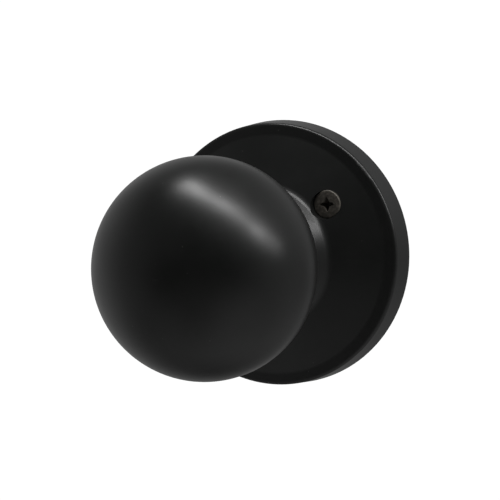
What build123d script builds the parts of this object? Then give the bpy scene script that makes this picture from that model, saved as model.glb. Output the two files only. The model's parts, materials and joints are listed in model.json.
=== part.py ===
from build123d import *

import os
from math import asin, cos, degrees, radians, sin, sqrt, tan

# Ball door knob on a round rose, with the spring mechanism of a passage set behind the rose.
# All lengths are in millimetres. Every piece is drawn about its own Z axis, which points out of
# the door, with z = 0 in the door's face. At the end each piece is turned so that the door's face
# is the plane y = 0, the knob points along -Y and +Z is up.

# Rose cover
ROSE_RADIUS = 32.5
ROSE_TAPER = 0.45
SHEET = 0.9
BACK_EDGE = 0.7
FRONT_ROLL = 1.0
ROLL_Z = 7.3
BAND_TILT = 10.0
BAND_INNER = 29.15
BAND_BEND = 1.5
CONE_TILT = 27.0
CONE_INNER = 17.3
FLARE_TILT = 55.0
FLARE_BEND = 3.3
COLLAR_TOP = 20.0
COLLAR_EDGE = 0.5
COLLAR_BORE = 11.3
PRY_ANGLE = 89.5
PRY_WIDTH = 4.5
PRY_HEIGHT = 0.8

# Screws through the rose
SCREW_CIRCLE = 20.4
SCREW_ANGLE = 39.4
SCREW_RADIUS = 2.0
SCREW_SHANK = 1.75
SCREW_HEAD = 3.4
SCREW_SEAT = 11.9
SCREW_TOP = 12.5
HEAD_ROUND = 0.3
SCREW_LENGTH = 39.0
THREAD_LENGTH = 23.5
SEAT_GAP = 0.05
SCREW_HOLE = 2.25
DIMPLE_BOTTOM = 9.4
DIMPLE_FOOT = 3.0
DIMPLE_RADIUS = 4.7
POCKET_TOP = 18.0
RECESS_SPAN = 3.6
RECESS_WIDTH = 1.0
RECESS_DEPTH = 2.0
RECESS_TAPER = 14.0
RECESS_TURN = 4.0
RECESS_POINT = 2.5
SLEEVE_RADIUS = 4.2

# Ball
BALL_RADIUS = 26.0
BALL_Z = 48.1
BALL_WALL = 0.9
SEAM_Z = 35.1
SEAM_GAP = 0.06
LAP_LENGTH = 3.0
LAP_GAP = 0.05
LAP_WALL = 0.8
CAP_COLLAR = 11.3
CAP_END = 21.0
CAP_FILLET = 2.5

# Core, neck and their bearings
CORE_END = -8.0
CORE_SHAFT = 7.6
CORE_FLAT = 6.8
CORE_GROOVE = 6.9
CORE_BODY = 8.6
CORE_SHOULDER = 9.2
CORE_COLLAR = 10.4
NECK_START = 12.2
NECK_END = 27.3
NECK_RADIUS = 10.4
NECK_BORE = 9.5
CORE_THREAD = 8.0
THREAD_END = 32.9
RUNNING = 0.1
SHAFT_RUNNING = 0.05
BUSH_START = 15.0
BUSH_FLANGE = 0.5
BUSH_FLANGE_RADIUS = 12.4
WASHER_RADIUS = 12.0
WASHER_THICK = 1.2
NUT_ACROSS = 22.0
NUT_HEIGHT = 3.8

# Spindle
SPINDLE = 8.0
SPINDLE_FRONT = 15.0
SPINDLE_BACK = -50.0
SPINDLE_CHAMFER = 0.8
SOCKET = 8.1
SOCKET_END = 16.0
PIN_Z = 8.0
PIN_RADIUS = 1.5
PIN_LENGTH = 17.0

# Backplate and the pieces on it
PLATE = 1.2
PLATE_RADIUS = 31.2
BORE_RADIUS = 27.0
PAN_RADIUS = 25.3
PAN_TOP = -1.2
REAR_BUSH_RADIUS = 8.9
REAR_FLANGE = 10.2
REAR_FLANGE_BACK = -3.2
THRUST_BACK = -3.95
RING_FRONT = -4.85
RING_BACK = -5.85
RING_INNER = 6.95
RING_OUTER = 9.2
RING_GAP_ANGLE = 52.0
RING_LUG = 1.7
RING_EYE = 0.7
DISC_INNER = 7.8
DISC_OUTER = 10.3
DISC_WALL = 0.3

# Drive cam, stop and spring
CAM_ANGLE = -46.5
CAM_BOTTOM = -0.7
CAM_TOP = 0.5
CAM_RADIUS = 12.8
FINGER_INNER = 11.3
FINGER_HALF = 2.3
FINGER_TOP = 7.9
TURN_LIMIT = 60.0
STOP_CLEARANCE = 0.5
STOP_CIRCLE = 11.8
STOP_RADIUS = 1.1
NOTCH_RADIUS = 10.6
SPRING_RADIUS = 10.0
WIRE = 1.6
SPRING_PITCH = 1.7
SPRING_Z = 1.6
SPRING_TURNS = 3
SPRING_END_ANGLE = 9.0
LEG_BEND = 1.6
LEG_REACH = 14.2
CAGE_INNER = 13.0
CAGE_OUTER = 17.8
CAGE_FLANGE = 1.0
CAGE_WALL_INNER = 13.6
CAGE_WALL_OUTER = 14.4
CAGE_WALL_TOP = 7.0
CAGE_OPEN_HALF = 84.0
LUG_INNER = 13.1
LUG_OUTER = 14.5
LUG_HALF = 2.4
RIVET_CIRCLE = 16.1
RIVET_SHANK = 0.9
RIVET_HEAD = 1.5
RIVET_HEAD_HEIGHT = 0.5

PAN_BOTTOM = PAN_TOP - PLATE
CAGE_TOP = PAN_TOP + CAGE_FLANGE
SCREW_ANGLES = (SCREW_ANGLE, SCREW_ANGLE + 180.0)


def turned(*edges):
    """Solid of revolution about Z from the edges of a closed outline of (radius, z) points."""
    outline = Plane.XZ * make_face(Curve() + list(edges))
    return revolve(outline, Axis.Z)


def turned_points(*points):
    """Solid of revolution about Z from a closed outline of straight runs."""
    return turned(Polyline(*points, close=True))


def ring(inner, outer, low, high):
    """Flat ring, or a tube, about Z."""
    return Pos(0, 0, low) * extrude(Circle(outer) - Circle(inner), high - low)


def disc(radius, low, high):
    """Plain round bar about Z."""
    return Pos(0, 0, low) * extrude(Circle(radius), high - low)


def at_polar(radius, angle):
    """Location on a circle about Z, turned so that its X axis points outwards."""
    return Rot(0, 0, angle) * Pos(radius, 0, 0)


def sector(radius, middle, half, low, high):
    """Wedge about Z that spans half degrees each side of the middle angle."""
    steps = 8
    reach = radius / cos(radians(half / steps))
    angles = [middle + half * (2 * i / steps - 1) for i in range(steps + 1)]
    rim = [(reach * cos(radians(a)), reach * sin(radians(a))) for a in angles]
    outline = make_face(Polyline((0, 0), *rim, close=True))
    return Pos(0, 0, low) * extrude(outline, high - low)


def double_d(radius, flat):
    """Round outline with two flats, one each side of X."""
    return Circle(radius) & Rectangle(2 * radius, 2 * flat)


def on_ball(radius, z):
    """Point of the (radius, z) plane on a sphere about the ball's centre."""
    return (sqrt(radius**2 - (z - BALL_Z) ** 2), z)


def ball_arc(radius, start_z, end_z):
    """Arc of a sphere about the ball's centre, between two heights behind its equator."""
    middle = on_ball(radius, (start_z + end_z) / 2)
    return ThreePointArc(on_ball(radius, start_z), middle, on_ball(radius, end_z))


def bend_ends(corner, low, high, radius, inset):
    """Ends of the round bend between two slopes that meet at a corner, on a skin set in from it."""
    low, high = radians(low), radians(high)
    shrink = inset / (1 + cos(high - low))
    middle_r = corner[0] - shrink * (sin(low) + sin(high))
    middle_z = corner[1] - shrink * (cos(low) + cos(high))
    reach = (radius + inset) * tan((high - low) / 2)
    outer = (middle_r + reach * cos(low), middle_z - reach * sin(low))
    return outer, (middle_r - reach * cos(high), middle_z + reach * sin(high))


def along_slope(point, radius, tilt):
    """Point at a radius on the slope that runs through a point."""
    return (radius, point[1] + (point[0] - radius) * tan(radians(tilt)))


def roll_end():
    """Point where the rolled front edge meets the band."""
    slope = radians(BAND_TILT)
    centre = ROSE_RADIUS - ROSE_TAPER - FRONT_ROLL
    return (centre + FRONT_ROLL * sin(slope), ROLL_Z + FRONT_ROLL * cos(slope))


def skin_bends(inset):
    """Ends of the bends at the band and at the flare's foot, on a skin set in from the outside."""
    band = along_slope(roll_end(), BAND_INNER, BAND_TILT)
    foot = along_slope(band, CONE_INNER, CONE_TILT)
    band_ends = bend_ends(band, BAND_TILT, CONE_TILT, BAND_BEND, inset)
    foot_ends = bend_ends(foot, CONE_TILT, FLARE_TILT, FLARE_BEND, inset)
    return (*band_ends, *foot_ends)


def flare_at(foot_high, z):
    """Point of the flare at a height, from the upper end of the bend at its foot."""
    return (foot_high[0] - (z - foot_high[1]) / tan(radians(FLARE_TILT)), z)


def rose_cover():
    """Stamped cover: rolled rim, sloping band, cone, steeper flare up to a flat collar, two dimples."""
    front_radius = ROSE_RADIUS - ROSE_TAPER
    back = (ROSE_RADIUS - BACK_EDGE, 0)
    side_low = (ROSE_RADIUS, BACK_EDGE)
    side_high = (front_radius, ROLL_Z)
    band_low, band_high, foot_low, foot_high = skin_bends(0)
    flare_high = flare_at(foot_high, COLLAR_TOP - COLLAR_EDGE)
    collar_lip = (flare_high[0] - COLLAR_EDGE, COLLAR_TOP)
    bore_high = (COLLAR_BORE, COLLAR_TOP)
    bore_low = (COLLAR_BORE, COLLAR_TOP - SHEET)
    under_band_low, under_band_high, under_foot_low, under_foot_high = skin_bends(SHEET)
    under_flare = flare_at(under_foot_high, COLLAR_TOP - SHEET)
    wall_high = along_slope(under_band_low, front_radius - SHEET, BAND_TILT)
    wall_low = (ROSE_RADIUS - SHEET, 0)
    cover = turned(
        RadiusArc(back, side_low, -BACK_EDGE),
        Line(side_low, side_high),
        RadiusArc(side_high, roll_end(), -FRONT_ROLL),
        Line(roll_end(), band_low),
        RadiusArc(band_low, band_high, BAND_BEND),
        Line(band_high, foot_low),
        RadiusArc(foot_low, foot_high, FLARE_BEND),
        Line(foot_high, flare_high),
        Line(flare_high, collar_lip),
        Line(collar_lip, bore_high),
        Line(bore_high, bore_low),
        Line(bore_low, under_flare),
        Line(under_flare, under_foot_high),
        RadiusArc(under_foot_high, under_foot_low, -(FLARE_BEND + SHEET)),
        Line(under_foot_low, under_band_high),
        RadiusArc(under_band_high, under_band_low, -(BAND_BEND + SHEET)),
        Line(under_band_low, wall_high),
        Line(wall_high, wall_low),
        Line(wall_low, back),
    )
    for angle in SCREW_ANGLES:
        cover += at_polar(SCREW_CIRCLE, angle) * dimple() & under_skin()
    for angle in SCREW_ANGLES:
        cover -= at_polar(SCREW_CIRCLE, angle) * countersink()
    notch = Box(4 * SHEET, PRY_WIDTH, 2 * PRY_HEIGHT)
    cover -= at_polar(ROSE_RADIUS, PRY_ANGLE) * notch
    return cover


def dimple():
    """Cup under one screw's head, tall enough to back the flare beside it."""
    step = DIMPLE_RADIUS - DIMPLE_FOOT
    return turned_points(
        (0, DIMPLE_BOTTOM), (DIMPLE_FOOT, DIMPLE_BOTTOM), (DIMPLE_RADIUS, DIMPLE_BOTTOM + step),
        (DIMPLE_RADIUS, POCKET_TOP), (0, POCKET_TOP),
    )


def under_skin():
    """Everything below the outside of the cone and the flare, out to the band."""
    band_high, foot_low, foot_high = skin_bends(0)[1:]
    flare_high = flare_at(foot_high, COLLAR_TOP - COLLAR_EDGE)
    return turned(
        Line(band_high, foot_low),
        RadiusArc(foot_low, foot_high, FLARE_BEND),
        Line(foot_high, flare_high),
        Polyline(flare_high, (0, flare_high[1]), (0, 0), (band_high[0], 0), band_high),
    )


def countersink():
    """Space of one screw in the rose: hole, cone for the head and the way in above it."""
    wide = SCREW_HEAD + SEAT_GAP
    cone_z = SCREW_SEAT - (wide - SCREW_HOLE)
    return turned_points(
        (0, 0), (SCREW_HOLE, 0), (SCREW_HOLE, cone_z), (wide, SCREW_SEAT), (wide, POCKET_TOP),
        (0, POCKET_TOP),
    )


def mounting_screws():
    """Two countersunk machine screws: cross recess, plain shank, threaded end behind the plate."""
    cone_z = SCREW_SEAT - (SCREW_HEAD - SCREW_SHANK)
    tip_z = SCREW_TOP - SCREW_LENGTH
    thread_z = tip_z + THREAD_LENGTH
    tip_chamfer = SCREW_RADIUS / 4
    edge_low = (SCREW_HEAD, SCREW_TOP - HEAD_ROUND)
    edge_high = (SCREW_HEAD - HEAD_ROUND, SCREW_TOP)
    screw = turned(
        Polyline(
            edge_high, (0, SCREW_TOP), (0, tip_z), (SCREW_RADIUS - tip_chamfer, tip_z),
            (SCREW_RADIUS, tip_z + tip_chamfer), (SCREW_RADIUS, thread_z), (SCREW_SHANK, thread_z),
            (SCREW_SHANK, cone_z), (SCREW_HEAD, SCREW_SEAT), edge_low,
        ),
        RadiusArc(edge_low, edge_high, -HEAD_ROUND),
    )
    cross = Rectangle(RECESS_SPAN, RECESS_WIDTH) + Rectangle(RECESS_WIDTH, RECESS_SPAN)
    slots = Pos(0, 0, SCREW_TOP) * extrude(cross, -RECESS_DEPTH, taper=RECESS_TAPER)
    middle = turned_points((0, SCREW_TOP), (RECESS_WIDTH, SCREW_TOP), (0, SCREW_TOP - RECESS_POINT))
    screws = []
    for angle in SCREW_ANGLES:
        squared = Rot(0, 0, RECESS_TURN - angle)
        screws += (at_polar(SCREW_CIRCLE, angle) * (screw - squared * slots - middle)).solids()
    return Compound(screws)


def screw_sleeves():
    """Spacers that carry the rose's dimples on the backplate, round the screws."""
    sleeve = ring(SCREW_HOLE + SEAT_GAP, SLEEVE_RADIUS, PAN_TOP, DIMPLE_BOTTOM)
    return Compound([s for a in SCREW_ANGLES for s in (at_polar(SCREW_CIRCLE, a) * sleeve).solids()])


def neck_bush():
    """Nylon bearing in the rose's collar, with a flange on top of it."""
    bore = NECK_RADIUS + RUNNING
    flange_top = COLLAR_TOP + BUSH_FLANGE
    sleeve = ring(bore, COLLAR_BORE - SEAT_GAP, BUSH_START, flange_top)
    return sleeve + ring(bore, BUSH_FLANGE_RADIUS, COLLAR_TOP, flange_top)


def backplate():
    """Steel plate: a ring on the door's face and a pan that sinks into the door's bore."""
    plate = turned_points(
        (REAR_BUSH_RADIUS, PAN_BOTTOM), (PAN_RADIUS, PAN_BOTTOM), (BORE_RADIUS, 0),
        (PLATE_RADIUS, 0), (PLATE_RADIUS, PLATE), (BORE_RADIUS - PLATE / 2, PLATE),
        (PAN_RADIUS - PLATE / 2, PAN_TOP), (REAR_BUSH_RADIUS, PAN_TOP),
    )
    for angle in SCREW_ANGLES:
        plate -= at_polar(SCREW_CIRCLE, angle) * disc(SCREW_HOLE, PAN_BOTTOM, PAN_TOP)
    for angle in rivet_angles():
        plate -= at_polar(RIVET_CIRCLE, angle) * disc(RIVET_SHANK, PAN_BOTTOM, PAN_TOP)
    plate -= at_polar(STOP_CIRCLE, CAM_ANGLE + 180) * disc(STOP_RADIUS, PAN_BOTTOM, PAN_TOP)
    return plate


def rivet_angles():
    """Angles of the three rivets, the first one in line with the cage's lug."""
    return [CAM_ANGLE + 120 * i for i in range(3)]


def rear_bush():
    """Flanged brass bearing of the core in the backplate."""
    bore = CORE_SHAFT + SHAFT_RUNNING
    flange = ring(bore, REAR_FLANGE, REAR_FLANGE_BACK, PAN_BOTTOM)
    return flange + ring(bore, REAR_BUSH_RADIUS, REAR_FLANGE_BACK, PAN_TOP)


def thrust_washer():
    """Washer between the rear bush and the disc spring."""
    return ring(CORE_SHAFT + RUNNING, REAR_FLANGE, THRUST_BACK, REAR_FLANGE_BACK)


def disc_spring():
    """Coned washer that takes the play out of the core."""
    touch = THRUST_BACK - SHAFT_RUNNING
    return turned_points(
        (DISC_INNER, RING_FRONT), (DISC_OUTER, touch - DISC_WALL), (DISC_OUTER, touch),
        (DISC_INNER, RING_FRONT + DISC_WALL),
    )


def retaining_ring():
    """Open ring in the core's groove, with two eyed lugs beside its gap."""
    gap_half = RING_GAP_ANGLE / 2
    lug_circle = (RING_INNER + RING_OUTER) / 2 + RING_LUG / 2
    lug_angle = gap_half + degrees(asin(RING_LUG / lug_circle))
    height = RING_FRONT - RING_BACK
    band = ring(RING_INNER, RING_OUTER, RING_BACK, RING_FRONT)
    band -= sector(2 * RING_OUTER, 90, gap_half, RING_BACK, RING_FRONT)
    for angle in (90 - lug_angle, 90 + lug_angle):
        place = at_polar(lug_circle, angle) * Pos(0, 0, RING_BACK)
        band += place * extrude(Circle(RING_LUG), height)
        band -= place * extrude(Circle(RING_EYE), height)
    band -= disc(RING_INNER, RING_BACK, RING_FRONT)
    return band


def cam_washer():
    """Thin washer that the drive cam slides on."""
    return ring(CORE_SHAFT + RUNNING, NOTCH_RADIUS - RUNNING, PAN_TOP, CAM_BOTTOM - SHAFT_RUNNING)


def drive_cam():
    """Plate keyed on the core, with an upright finger and a notch that the stop pin limits."""
    hole = double_d(CORE_SHAFT + SHAFT_RUNNING, CORE_FLAT + SHAFT_RUNNING)
    plate = Pos(0, 0, CAM_BOTTOM) * extrude(Circle(CAM_RADIUS) - hole, CAM_TOP - CAM_BOTTOM)
    pin_half = degrees(asin(STOP_RADIUS / STOP_CIRCLE))
    notch_half = TURN_LIMIT + STOP_CLEARANCE + pin_half
    notch = sector(CAM_RADIUS + 1, CAM_ANGLE + 180, notch_half, CAM_BOTTOM, CAM_TOP)
    plate -= notch - disc(NOTCH_RADIUS, CAM_BOTTOM, CAM_TOP)
    return plate + upright(FINGER_INNER, CAM_RADIUS, FINGER_HALF, CAM_BOTTOM, FINGER_TOP)


def upright(inner, outer, half, low, high):
    """Tab that stands up from a plate at the cam's angle, with curved inner and outer faces."""
    reach = 2 * (outer - inner)
    bar = Pos((inner + outer) / 2, 0, (low + high) / 2) * Box(reach, 2 * half, high - low)
    return Rot(0, 0, CAM_ANGLE) * (bar & ring(inner, outer, low, high))


def stop_pin():
    """Pin riveted in the backplate, which ends the knob's turn."""
    pin = disc(STOP_RADIUS, PAN_BOTTOM, CAM_TOP)
    head = disc(RIVET_HEAD, PAN_BOTTOM - RIVET_HEAD_HEIGHT, PAN_BOTTOM)
    return at_polar(STOP_CIRCLE, CAM_ANGLE + 180) * (pin + head)


def return_spring():
    """Torsion spring whose two legs grip the cam's finger and the cage's lug."""
    sweep_angle = 360 * SPRING_TURNS + 2 * SPRING_END_ANGLE
    height = SPRING_PITCH * sweep_angle / 360
    first = CAM_ANGLE - SPRING_END_ANGLE
    coil = Rot(0, 0, first) * Helix(SPRING_PITCH, height, SPRING_RADIUS, center=(0, 0, SPRING_Z)).edge()
    path = spring_leg(coil, 0) + [coil] + spring_leg(coil, 1)
    wire = Wire(path)
    start = wire @ 0
    section = Plane(start, z_dir=wire % 0) * Circle(WIRE / 2)
    return sweep(section, path=wire)


def spring_leg(coil, end):
    """Bend and straight leg that leave one end of the coil, outwards, tangent to it."""
    point = coil @ end
    ahead = (coil % end) * (1 if end else -1)
    outward = Vector(point.X, point.Y, 0).normalized()
    bend_end = point + ahead * LEG_BEND + outward * LEG_BEND
    middle = point + outward * LEG_BEND + (ahead - outward).normalized() * LEG_BEND
    tip = bend_end + outward * (LEG_REACH - SPRING_RADIUS - LEG_BEND)
    return [ThreePointArc(point, middle, bend_end).edge(), Line(bend_end, tip).edge()]


def spring_cage():
    """Fixed cup round the spring: flange, wall away from the legs, and the lug they grip."""
    cage = ring(CAGE_INNER, CAGE_OUTER, PAN_TOP, CAGE_TOP)
    wall = ring(CAGE_WALL_INNER, CAGE_WALL_OUTER, PAN_TOP, CAGE_WALL_TOP)
    wall &= sector(CAGE_OUTER, CAM_ANGLE + 180, 180 - CAGE_OPEN_HALF, PAN_TOP, CAGE_WALL_TOP)
    cage += wall
    cage += upright(LUG_INNER, LUG_OUTER, LUG_HALF, PAN_TOP, FINGER_TOP - RIVET_HEAD_HEIGHT)
    for angle in SCREW_ANGLES:
        cage -= at_polar(SCREW_CIRCLE, angle) * disc(SLEEVE_RADIUS + 3 * RUNNING, PAN_TOP, CAGE_TOP)
    for angle in rivet_angles():
        cage -= at_polar(RIVET_CIRCLE, angle) * disc(RIVET_SHANK, PAN_TOP, CAGE_TOP)
    return cage


def cage_rivets():
    """Three rivets that hold the cage on the backplate."""
    shank = disc(RIVET_SHANK, PAN_BOTTOM, CAGE_TOP)
    back_head = disc(RIVET_HEAD, PAN_BOTTOM - RIVET_HEAD_HEIGHT, PAN_BOTTOM)
    front_head = disc(RIVET_HEAD, CAGE_TOP, CAGE_TOP + RIVET_HEAD_HEIGHT)
    rivet = back_head + shank + front_head
    return Compound([s for a in rivet_angles() for s in (at_polar(RIVET_CIRCLE, a) * rivet).solids()])


def knob_core():
    """Cast hub: keyed rear shaft, body, collar, neck and threaded end, with a square socket."""
    groove_low = RING_BACK - SHAFT_RUNNING
    groove_high = RING_FRONT + SHAFT_RUNNING
    neck = NECK_BORE - RUNNING
    body = disc(CORE_BODY, CAM_TOP, CORE_SHOULDER)
    body += disc(CORE_COLLAR, CORE_SHOULDER, NECK_START)
    body += disc(neck, NECK_START, NECK_END - RUNNING)
    body += disc(CORE_THREAD, NECK_END - RUNNING, THREAD_END)
    shaft = double_d(CORE_SHAFT, CORE_FLAT)
    body += Pos(0, 0, CORE_END) * extrude(shaft, CAM_TOP - CORE_END)
    body -= ring(CORE_GROOVE, CORE_BODY, groove_low, groove_high)
    body -= Pos(0, 0, CORE_END) * extrude(Rectangle(SOCKET, SOCKET), SOCKET_END - CORE_END)
    body -= cross_hole(CORE_COLLAR)
    return body


def cross_hole(half_length):
    """Space of the pin across the core and the spindle."""
    bar = extrude(Circle(PIN_RADIUS + SEAT_GAP), half_length, both=True)
    return Pos(0, 0, PIN_Z) * Rot(0, 90, 0) * bar


def spindle():
    """Square bar that drives the latch and the knob on the far side."""
    length = SPINDLE_FRONT - SPINDLE_BACK
    bar = Pos(0, 0, (SPINDLE_FRONT + SPINDLE_BACK) / 2) * Box(SPINDLE, SPINDLE, length)
    bar = chamfer(bar.faces().sort_by(Axis.Z)[0].edges(), SPINDLE_CHAMFER)
    return bar - cross_hole(SPINDLE)


def spindle_pin():
    """Pin across the core and the spindle."""
    bar = extrude(Circle(PIN_RADIUS), PIN_LENGTH / 2, both=True)
    return Pos(0, 0, PIN_Z) * Rot(0, 90, 0) * bar


def knob_neck():
    """Sleeve on the core that carries the ball and runs in the neck bush."""
    return ring(NECK_BORE, NECK_RADIUS, NECK_START, NECK_END)


def core_washer():
    """Washer on the end of the neck, inside the ball."""
    return ring(CORE_THREAD + RUNNING, WASHER_RADIUS, NECK_END, NECK_END + WASHER_THICK)


def core_nut():
    """Thin hexagon nut that clamps the neck on the core."""
    low = NECK_END + WASHER_THICK
    hexagon = RegularPolygon(NUT_ACROSS / 2, 6, major_radius=False)
    return Pos(0, 0, low) * extrude(hexagon - Circle(CORE_THREAD), NUT_HEIGHT)


def knob_rear_cap():
    """Back of the ball: collar on the neck, fillet, spherical zone and a lap inside the shell."""
    inner = BALL_RADIUS - BALL_WALL
    lap_outer = inner - LAP_GAP
    lap_inner = lap_outer - LAP_WALL
    lap_z = SEAM_Z + LAP_LENGTH
    bore = NECK_RADIUS + SEAT_GAP
    fillet_r = CAP_COLLAR + CAP_FILLET
    reach = BALL_RADIUS + CAP_FILLET
    fillet_z = BALL_Z - sqrt(reach**2 - fillet_r**2)
    tangent_z = BALL_Z - (BALL_Z - fillet_z) * BALL_RADIUS / reach
    bore_z = BALL_Z - sqrt(inner**2 - bore**2)
    step_z = SEAM_Z - LAP_WALL
    return turned(
        Line((bore, CAP_END), (CAP_COLLAR, CAP_END)),
        Line((CAP_COLLAR, CAP_END), (CAP_COLLAR, fillet_z)),
        RadiusArc((CAP_COLLAR, fillet_z), on_ball(BALL_RADIUS, tangent_z), CAP_FILLET),
        ball_arc(BALL_RADIUS, tangent_z, SEAM_Z),
        Line(on_ball(BALL_RADIUS, SEAM_Z), on_ball(lap_outer, SEAM_Z)),
        ball_arc(lap_outer, SEAM_Z, lap_z),
        Line(on_ball(lap_outer, lap_z), on_ball(lap_inner, lap_z)),
        ball_arc(lap_inner, lap_z, SEAM_Z),
        Line(on_ball(lap_inner, SEAM_Z), on_ball(inner, step_z)),
        ball_arc(inner, step_z, bore_z),
        Line(on_ball(inner, bore_z), (bore, CAP_END)),
    )


def knob_shell():
    """Ball's front: a spherical shell from the pole back to the seam."""
    inner = BALL_RADIUS - BALL_WALL
    edge_z = SEAM_Z + SEAM_GAP
    outer_edge = on_ball(BALL_RADIUS, edge_z)
    inner_edge = on_ball(inner, edge_z)
    outer_pole = (0, BALL_Z + BALL_RADIUS)
    inner_pole = (0, BALL_Z + inner)
    return turned(
        ThreePointArc(outer_edge, (BALL_RADIUS, BALL_Z), outer_pole),
        Line(outer_pole, inner_pole),
        ThreePointArc(inner_pole, (inner, BALL_Z), inner_edge),
        Line(inner_edge, outer_edge),
    )


PIECES = [
    rose_cover, mounting_screws, screw_sleeves, neck_bush, backplate, rear_bush, thrust_washer,
    cam_washer, stop_pin, spring_cage, cage_rivets, return_spring, knob_shell, knob_rear_cap,
    knob_neck, knob_core, core_washer, core_nut, spindle, spindle_pin, drive_cam, disc_spring,
    retaining_ring,
]

os.makedirs("parts", exist_ok=True)
for piece in PIECES:
    export_step(Rot(90, 0, 0) * piece(), f"parts/{piece.__name__}.step")
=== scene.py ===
import json
import math

import bmesh
import bpy
from mathutils import Matrix, Vector


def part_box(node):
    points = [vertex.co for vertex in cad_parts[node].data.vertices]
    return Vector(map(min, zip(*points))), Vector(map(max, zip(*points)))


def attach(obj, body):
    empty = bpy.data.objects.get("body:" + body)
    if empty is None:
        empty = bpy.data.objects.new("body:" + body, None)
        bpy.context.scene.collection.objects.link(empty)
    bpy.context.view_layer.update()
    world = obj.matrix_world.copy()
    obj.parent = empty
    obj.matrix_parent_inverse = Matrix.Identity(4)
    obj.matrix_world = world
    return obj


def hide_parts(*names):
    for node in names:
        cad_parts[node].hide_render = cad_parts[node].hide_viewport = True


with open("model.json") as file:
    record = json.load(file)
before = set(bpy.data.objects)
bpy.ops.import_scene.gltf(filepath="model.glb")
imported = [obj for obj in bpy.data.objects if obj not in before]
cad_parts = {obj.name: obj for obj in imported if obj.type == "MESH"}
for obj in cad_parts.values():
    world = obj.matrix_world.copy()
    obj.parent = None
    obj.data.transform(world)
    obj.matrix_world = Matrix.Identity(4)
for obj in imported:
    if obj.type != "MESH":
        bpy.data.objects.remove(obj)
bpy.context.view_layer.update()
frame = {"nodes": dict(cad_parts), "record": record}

# Camera: it looks at the ball from the right, a little from above
VIEW_AZIMUTH = math.radians(22.984)
VIEW_ELEVATION = math.radians(5.114)
CAMERA_DISTANCE = 0.6318
CAMERA_AIM = Vector((-0.00825, -0.0035, 0.00039))
LENS_MM = 184.5
SENSOR_MM = 36.0
CLIP_START = 0.01

# Light: a chain of soft boxes in an arch over the ball, each from one direction to the next
ARCH_CENTRE = Vector((0, -0.048, 0))
ARCH_RADIUS = 0.6
ARCH_WIDTH = 0.09
ARCH_TURNS = (
    Vector((-0.48, 0.23, 0.85)),
    Vector((-0.31, 0.10, 0.94)),
    Vector((0.05, -0.11, 0.99)),
    Vector((0.23, -0.14, 0.96)),
    Vector((0.40, -0.13, 0.91)),
    Vector((0.63, -0.09, 0.77)),
    Vector((0.77, -0.04, 0.64)),
    Vector((0.85, 0.05, 0.52)),
    Vector((0.90, 0.15, 0.41)),
    Vector((0.91, 0.31, 0.27)),
)
ARCH_RADIANCE = (0.3, 12.6, 10.1, 13.8, 10.6, 5.9, 11.1, 6.5, 3.7)

# Room: dark but for soft patches, each with its side (0 in front of the door, 90 on the right),
# its height in degrees and its strength
ROOM_PATCHES = (
    (-30, 0, 0.052),
    (-75, 0, 0.125),
    (-120, 0, 0.23),
    (-160, 0, 0.14),
    (160, 0, 0.08),
    (120, -5, 0.04),
    (110, 40, 0.165),
    (180, 45, 0.085),
    (-60, 45, 0.04),
    (28, -55, 0.15),
    (-70, -45, 0.12),
    (100, -45, 0.235),
    (-165, -60, 0.04),
    (28, -88, 0.035),
)
PATCH_EDGE = 0.5
BACKDROP_STRENGTH = 1.05

# Floor: a pale disc well below the knob
FLOOR_DEPTH = 0.25
FLOOR_RADIUS = 0.7
FLOOR_SIDES = 128


def toward(azimuth, elevation):
    """Direction at an angle to the right of the door's front and an angle above level."""
    level = Vector((math.sin(azimuth), -math.cos(azimuth), 0))
    return level * math.cos(elevation) + Vector((0, 0, math.sin(elevation)))


def make_camera():
    """Camera at the height and side that shows the ball in front of the rose."""
    data = bpy.data.cameras.new("camera")
    data.lens = LENS_MM
    data.sensor_width = SENSOR_MM
    data.clip_start = CLIP_START
    camera = bpy.data.objects.new("camera", data)
    bpy.context.scene.collection.objects.link(camera)
    camera.location = toward(VIEW_AZIMUTH, VIEW_ELEVATION) * CAMERA_DISTANCE
    camera.rotation_euler = (camera.location - CAMERA_AIM).to_track_quat("Z", "Y").to_euler()
    bpy.context.scene.camera = camera


def add_soft_box(name, start, end, radiance):
    """Soft box along one run of the arch, facing the ball."""
    middle = (start + end) / 2
    along = (end - start).normalized()
    facing = middle.normalized()
    across = facing.cross(along)
    length = (end - start).length * ARCH_RADIUS
    data = bpy.data.lights.new(name, "AREA")
    data.shape = "RECTANGLE"
    data.size, data.size_y = length, ARCH_WIDTH
    data.energy = radiance * math.pi * length * ARCH_WIDTH
    light = bpy.data.objects.new(name, data)
    bpy.context.scene.collection.objects.link(light)
    turn = Matrix((along, across, along.cross(across))).transposed()
    light.matrix_world = Matrix.Translation(ARCH_CENTRE + middle * ARCH_RADIUS) @ turn.to_4x4()


def make_lights():
    """The arch of soft boxes over the ball."""
    for i, radiance in enumerate(ARCH_RADIANCE):
        add_soft_box(f"arch_{i}", ARCH_TURNS[i], ARCH_TURNS[i + 1], radiance)


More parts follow.
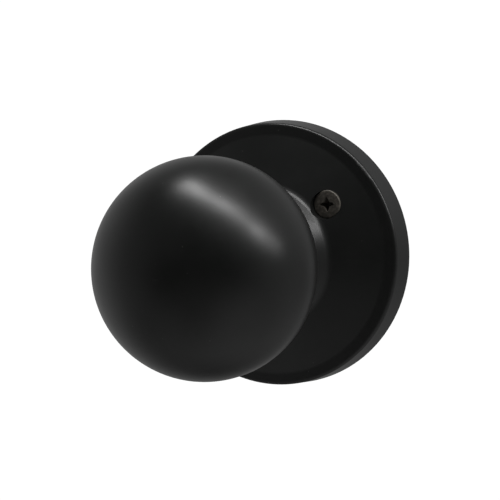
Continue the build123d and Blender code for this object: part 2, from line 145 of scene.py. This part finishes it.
def make_world():
    """Studio room that is dark towards the camera, with a plain white backdrop."""
    world = bpy.data.worlds.new("room")
    bpy.context.scene.world = world
    world.use_nodes = True
    tree = world.node_tree
    tree.nodes.clear()
    link = tree.links.new
    coords = tree.nodes.new("ShaderNodeTexCoord")
    total = None
    for azimuth, elevation, strength in ROOM_PATCHES:
        facing = tree.nodes.new("ShaderNodeVectorMath")
        facing.operation = "DOT_PRODUCT"
        facing.inputs[1].default_value = toward(math.radians(azimuth), math.radians(elevation))
        link(coords.outputs["Generated"], facing.inputs[0])
        level = tree.nodes.new("ShaderNodeMapRange")
        level.interpolation_type = "SMOOTHSTEP"
        level.inputs["From Min"].default_value = PATCH_EDGE
        level.inputs["To Max"].default_value = strength
        link(facing.outputs["Value"], level.inputs["Value"])
        add = tree.nodes.new("ShaderNodeMath")
        add.inputs[0].default_value = 0.0
        if total:
            link(total, add.inputs[0])
        link(level.outputs["Result"], add.inputs[1])
        total = add.outputs[0]
    room = tree.nodes.new("ShaderNodeBackground")
    link(total, room.inputs["Strength"])
    backdrop = tree.nodes.new("ShaderNodeBackground")
    backdrop.inputs["Strength"].default_value = BACKDROP_STRENGTH
    rays = tree.nodes.new("ShaderNodeLightPath")
    mix = tree.nodes.new("ShaderNodeMixShader")
    link(rays.outputs["Is Camera Ray"], mix.inputs[0])
    link(room.outputs[0], mix.inputs[1])
    link(backdrop.outputs[0], mix.inputs[2])
    output = tree.nodes.new("ShaderNodeOutputWorld")
    link(mix.outputs[0], output.inputs["Surface"])
    for node in (room, backdrop):
        node.inputs["Color"].default_value = (1, 1, 1, 1)
    bpy.context.scene.view_settings.view_transform = "Standard"


# Finishes: how far grain is drawn out along the axis, and how specks sit in their cells
GRAIN_STRETCH = 0.04
SPECK_SPACING = 0.3
SPECK_RADIUS = 0.12


def add_node(tree, kind, **settings):
    """Shader node with its properties and its input values set."""
    node = tree.nodes.new(kind)
    for key, value in settings.items():
        if key in node.inputs:
            node.inputs[key].default_value = value
        else:
            setattr(node, key, value)
    return node


def grain_coords(tree, grain):
    """Texture coordinates of a finish: even, in rings about the knob's axis, or drawn along it."""
    place = tree.nodes.new("ShaderNodeTexCoord").outputs["Object"]
    if grain == "even":
        return place
    split = tree.nodes.new("ShaderNodeSeparateXYZ")
    tree.links.new(place, split.inputs[0])
    join = tree.nodes.new("ShaderNodeCombineXYZ")
    if grain == "drawn":
        shrink = add_node(tree, "ShaderNodeMath", operation="MULTIPLY")
        shrink.inputs[1].default_value = GRAIN_STRETCH
        tree.links.new(split.outputs["Y"], shrink.inputs[0])
        tree.links.new(split.outputs["X"], join.inputs["X"])
        tree.links.new(split.outputs["Z"], join.inputs["Z"])
        tree.links.new(shrink.outputs[0], join.inputs["Y"])
        return join.outputs[0]
    flat = tree.nodes.new("ShaderNodeCombineXYZ")
    tree.links.new(split.outputs["X"], flat.inputs["X"])
    tree.links.new(split.outputs["Z"], flat.inputs["Z"])
    radius = add_node(tree, "ShaderNodeVectorMath", operation="LENGTH")
    tree.links.new(flat.outputs[0], radius.inputs[0])
    tree.links.new(radius.outputs["Value"], join.inputs["X"])
    tree.links.new(split.outputs["Y"], join.inputs["Y"])
    return join.outputs[0]


def noise(tree, coords, scale, detail=3.0, low=0.3, high=0.7):
    """Noise over the coordinates, stretched so that low to high spans 0 to 1."""
    source = add_node(tree, "ShaderNodeTexNoise", Scale=scale, Detail=detail, Roughness=0.55)
    tree.links.new(coords, source.inputs["Vector"])
    level = add_node(tree, "ShaderNodeMapRange", interpolation_type="SMOOTHSTEP")
    level.inputs["From Min"].default_value = low
    level.inputs["From Max"].default_value = high
    tree.links.new(source.outputs["Fac"], level.inputs["Value"])
    return level.outputs["Result"]


def blend(tree, mask, first, second):
    """Mix of two values or colours by a mask."""
    is_color = isinstance(first, tuple)
    mix = add_node(tree, "ShaderNodeMix", data_type="RGBA" if is_color else "FLOAT")
    low, high = mix_inputs(mix)
    low.default_value = (*first, 1) if is_color else first
    high.default_value = (*second, 1) if is_color else second
    tree.links.new(mask, mix.inputs["Factor"])
    return mix_output(mix)


def mix_inputs(mix):
    """The two inputs of a mix node that are in use."""
    return [socket for socket in mix.inputs if socket.enabled and socket.name in ("A", "B")]


def mix_output(mix):
    """The output of a mix node that is in use."""
    return [socket for socket in mix.outputs if socket.enabled][0]


def add_specks(tree, shader, color, size, share):
    """Sparse specks of dust or pits of a colour, over the colour that the shader has."""
    place = tree.nodes.new("ShaderNodeTexCoord").outputs["Object"]
    cells = add_node(tree, "ShaderNodeTexVoronoi", Scale=SPECK_SPACING / size)
    tree.links.new(place, cells.inputs["Vector"])
    near = add_node(tree, "ShaderNodeMath", operation="LESS_THAN")
    near.inputs[1].default_value = SPECK_RADIUS
    tree.links.new(cells.outputs["Distance"], near.inputs[0])
    split = tree.nodes.new("ShaderNodeSeparateColor")
    tree.links.new(cells.outputs["Color"], split.inputs[0])
    chosen = add_node(tree, "ShaderNodeMath", operation="LESS_THAN")
    chosen.inputs[1].default_value = share
    tree.links.new(split.outputs[0], chosen.inputs[0])
    both = add_node(tree, "ShaderNodeMath", operation="MULTIPLY")
    tree.links.new(near.outputs[0], both.inputs[0])
    tree.links.new(chosen.outputs[0], both.inputs[1])
    mix = add_node(tree, "ShaderNodeMix", data_type="RGBA")
    low, high = mix_inputs(mix)
    high.default_value = (*color, 1)
    under = shader.inputs["Base Color"].links[0]
    tree.links.new(under.from_socket, low)
    tree.links.new(both.outputs[0], mix.inputs["Factor"])
    tree.links.new(mix_output(mix), shader.inputs["Base Color"])


def make_material(name, color, worn, smooth, rough, metallic, grain, marks, fine, bump, specks=None):
    """Finish with two tones, uneven roughness and a fine bump.

    color and worn are the two tones, smooth and rough the two roughnesses, marks the scale of the
    worn patches, fine the scale of the grain and bump its height in metres.
    """
    material = bpy.data.materials.new(name)
    material.use_nodes = True
    tree = material.node_tree
    shader = tree.nodes["Principled BSDF"]
    shader.inputs["Metallic"].default_value = metallic
    even = grain_coords(tree, "even")
    along = grain_coords(tree, grain)
    patches = noise(tree, even, marks, detail=5.0, low=0.42, high=0.72)
    tree.links.new(blend(tree, patches, color, worn), shader.inputs["Base Color"])
    smears = noise(tree, even, marks * 2.7, detail=4.0)
    tree.links.new(blend(tree, smears, smooth, rough), shader.inputs["Roughness"])
    texture = noise(tree, along, fine, detail=2.0)
    relief = add_node(tree, "ShaderNodeBump", Distance=bump)
    relief.inputs["Strength"].default_value = 1.0
    tree.links.new(texture, relief.inputs["Height"])
    tree.links.new(relief.outputs[0], shader.inputs["Normal"])
    if specks:
        add_specks(tree, shader, *specks)
    return material


SLOTS = {row["node"]: row["material_slot"] for row in frame["record"]["subparts"]}
MATERIALS = {
    "black_coat": make_material(
        "black_coat", (0.0105, 0.0112, 0.0107), (0.0135, 0.014, 0.0135), 0.30, 0.33, 0.0,
        "even", 60, 2600, 4e-7, specks=((0.12, 0.12, 0.115), 0.00022, 0.012)),
    "dark_bronze": make_material(
        "dark_bronze", (0.105, 0.096, 0.082), (0.2, 0.18, 0.155), 0.42, 0.56, 0.3,
        "even", 1300, 4200, 6e-6, specks=((0.04, 0.034, 0.028), 0.00022, 0.15)),
    "plated_steel": make_material(
        "plated_steel", (0.52, 0.54, 0.56), (0.42, 0.41, 0.36), 0.26, 0.42, 1.0,
        "even", 140, 1800, 3e-6, specks=((0.2, 0.19, 0.17), 0.0003, 0.03)),
    "cast_zinc": make_material(
        "cast_zinc", (0.34, 0.35, 0.36), (0.24, 0.24, 0.24), 0.42, 0.6, 1.0,
        "even", 220, 1500, 1.2e-5, specks=((0.1, 0.1, 0.1), 0.0004, 0.1)),
    "spring_steel": make_material(
        "spring_steel", (0.13, 0.125, 0.12), (0.07, 0.06, 0.052), 0.24, 0.4, 1.0,
        "even", 300, 2400, 3e-6),
    "brass": make_material(
        "brass", (0.66, 0.46, 0.19), (0.42, 0.27, 0.11), 0.22, 0.42, 1.0,
        "rings", 180, 4000, 4e-6),
    "black_nylon": make_material(
        "black_nylon", (0.016, 0.016, 0.017), (0.028, 0.028, 0.028), 0.42, 0.58, 0.0,
        "even", 160, 3200, 4e-6),
}


def paint_nodes():
    """Gives every CAD node the material of its slot."""
    for name, node in frame["nodes"].items():
        node.data.materials.clear()
        node.data.materials.append(MATERIALS[SLOTS[name]])


# Screws: what the CAD model leaves plain
SCREW_MATERIAL = "dark_bronze"
HEAD_RADIUS = 0.0034
HEAD_ROUND = 0.0003
HEAD_LAND = 0.0006
SHANK_RADIUS = 0.00175
THREAD_RADIUS = 0.002
THREAD_ROOT = 0.00163
THREAD_PITCH = 0.0007
THREAD_LENGTH = 0.0235
THREAD_STEPS = 12
SCREW_SIDES = 64
TIP_CHAMFER = 0.0005
SHARP_ANGLE = math.radians(35.0)
RECESS_TURN = math.radians(4.0)
RECESS_DEPTH = 0.002
RECESS_OUTLINE = (
    (0.0018, 0.0), (0.00172, 0.00022), (0.00115, 0.00043), (0.00064, 0.00064),
)
RECESS_LAYERS = ((-0.0002, 1.08), (0.0, 1.0), (0.0009, 0.80), (0.0017, 0.55), (RECESS_DEPTH, 0.3))


def mesh_object(name, verts, faces):
    """Mesh object from vertices and faces, with its normals outwards."""
    mesh = bpy.data.meshes.new(name)
    mesh.from_pydata(verts, [], faces)
    shape = bmesh.new()
    shape.from_mesh(mesh)
    bmesh.ops.recalc_face_normals(shape, faces=shape.faces)
    shape.to_mesh(mesh)
    shape.free()
    piece = bpy.data.objects.new(name, mesh)
    bpy.context.scene.collection.objects.link(piece)
    return piece


def stack_rings(rings):
    """Faces that join rings of equal count one after the other, closed at both ends."""
    count = len(rings[0])
    verts = [point for ring in rings for point in ring]
    faces = []
    for row in range(len(rings) - 1):
        for i in range(count):
            j = (i + 1) % count
            low, high = row * count, (row + 1) * count
            faces.append((low + i, low + j, high + j, high + i))
    faces.append(tuple(range(count)))
    faces.append(tuple(range((len(rings) - 1) * count, len(rings) * count)))
    return verts, faces


def screw_radius(depth, angle, length):
    """Radius of the screw at a depth below the top of its head."""
    seat = HEAD_LAND
    if depth < HEAD_ROUND:
        fall = HEAD_ROUND - depth
        return HEAD_RADIUS - HEAD_ROUND + math.sqrt(max(HEAD_ROUND**2 - fall**2, 0))
    if depth < seat + HEAD_RADIUS - SHANK_RADIUS:
        return HEAD_RADIUS - max(depth - seat, 0)
    start = length - THREAD_LENGTH
    if depth < start:
        return SHANK_RADIUS
    phase = ((depth - start) / THREAD_PITCH - angle / math.tau) % 1.0
    crest = min(max(abs(2 * phase - 1) * 1.25 - 0.1, 0), 1)
    radius = THREAD_ROOT + (THREAD_RADIUS - THREAD_ROOT) * crest
    run_in = min((depth - start) / THREAD_PITCH, 1.0)
    radius = SHANK_RADIUS + (radius - SHANK_RADIUS) * run_in
    return min(radius, THREAD_RADIUS - TIP_CHAMFER + length - depth)


def screw_depths(length):
    """Depths of the screw's rings: close together on the head's edge and on the thread."""
    head = [HEAD_ROUND * (1 - math.cos(math.radians(a))) for a in range(0, 91, 15)]
    plain = [HEAD_LAND, HEAD_LAND + HEAD_RADIUS - SHANK_RADIUS, length - THREAD_LENGTH]
    steps = round(THREAD_LENGTH / THREAD_PITCH * THREAD_STEPS)
    thread = [length - THREAD_LENGTH * (1 - (i + 1) / steps) for i in range(steps)]
    return head + plain + thread


def make_screw(name, centre, length):
    """Countersunk screw along +Y from its head's top: rounded edge, cross recess, cut thread."""
    angles = [math.tau * i / SCREW_SIDES for i in range(SCREW_SIDES)]
    rings = []
    for depth in screw_depths(length):
        ring = []
        for angle in angles:
            radius = screw_radius(depth, angle, length)
            ring.append((radius * math.cos(angle), depth, radius * math.sin(angle)))
        rings.append(ring)
    screw = mesh_object(name, *stack_rings(rings))
    rings = []
    for depth, scale in RECESS_LAYERS:
        ring = []
        for quarter in range(4):
            turn = RECESS_TURN + quarter * math.pi / 2
            mirrored = [(x, -y) for x, y in reversed(RECESS_OUTLINE[1:-1])]
            for x, y in mirrored + list(RECESS_OUTLINE):
                across = x * math.cos(turn) - y * math.sin(turn)
                up = x * math.sin(turn) + y * math.cos(turn)
                ring.append((across * scale, depth, up * scale))
        rings.append(ring)
    recess = mesh_object(name + "_recess", *stack_rings(rings))
    cut = screw.modifiers.new("recess", "BOOLEAN")
    cut.object = recess
    cut.operation = "DIFFERENCE"
    cut.solver = "EXACT"
    evaluated = screw.evaluated_get(bpy.context.evaluated_depsgraph_get())
    screw.data = bpy.data.meshes.new_from_object(evaluated)
    screw.modifiers.clear()
    bpy.data.objects.remove(recess)
    screw.data.transform(Matrix.Translation(centre))
    for face in screw.data.polygons:
        face.use_smooth = True
    screw.data.set_sharp_from_angle(angle=SHARP_ANGLE)
    return screw


def make_screws():
    """The two fixing screws, where the CAD model has them."""
    low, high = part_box("mounting_screws")
    length = high[1] - low[1]
    for name, side in (("screw_near", 1), ("screw_far", -1)):
        across = side * (high[0] - HEAD_RADIUS)
        up = side * (high[2] - HEAD_RADIUS)
        screw = make_screw(name, (across, low[1], up), length)
        screw.data.materials.clear()
        screw.data.materials.append(MATERIALS[SCREW_MATERIAL])
        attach(screw, "rose")
        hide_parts("mounting_screws")


def make_floor():
    """Pale round floor."""
    mesh = bpy.data.meshes.new("floor")
    shape = bmesh.new()
    bmesh.ops.create_circle(shape, cap_ends=True, segments=FLOOR_SIDES, radius=FLOOR_RADIUS)
    shape.to_mesh(mesh)
    shape.free()
    floor = bpy.data.objects.new("floor", mesh)
    bpy.context.scene.collection.objects.link(floor)
    floor.location = (0, 0, -FLOOR_DEPTH)
    floor.data.materials.append(make_material(
        "floor_pale", (0.85, 0.85, 0.84), (0.82, 0.82, 0.81), 0.85, 0.95, 0.0, "even", 4, 300, 1e-5))
    floor.visible_glossy = False


make_camera()
make_world()
make_lights()
make_floor()
paint_nodes()
make_screws()
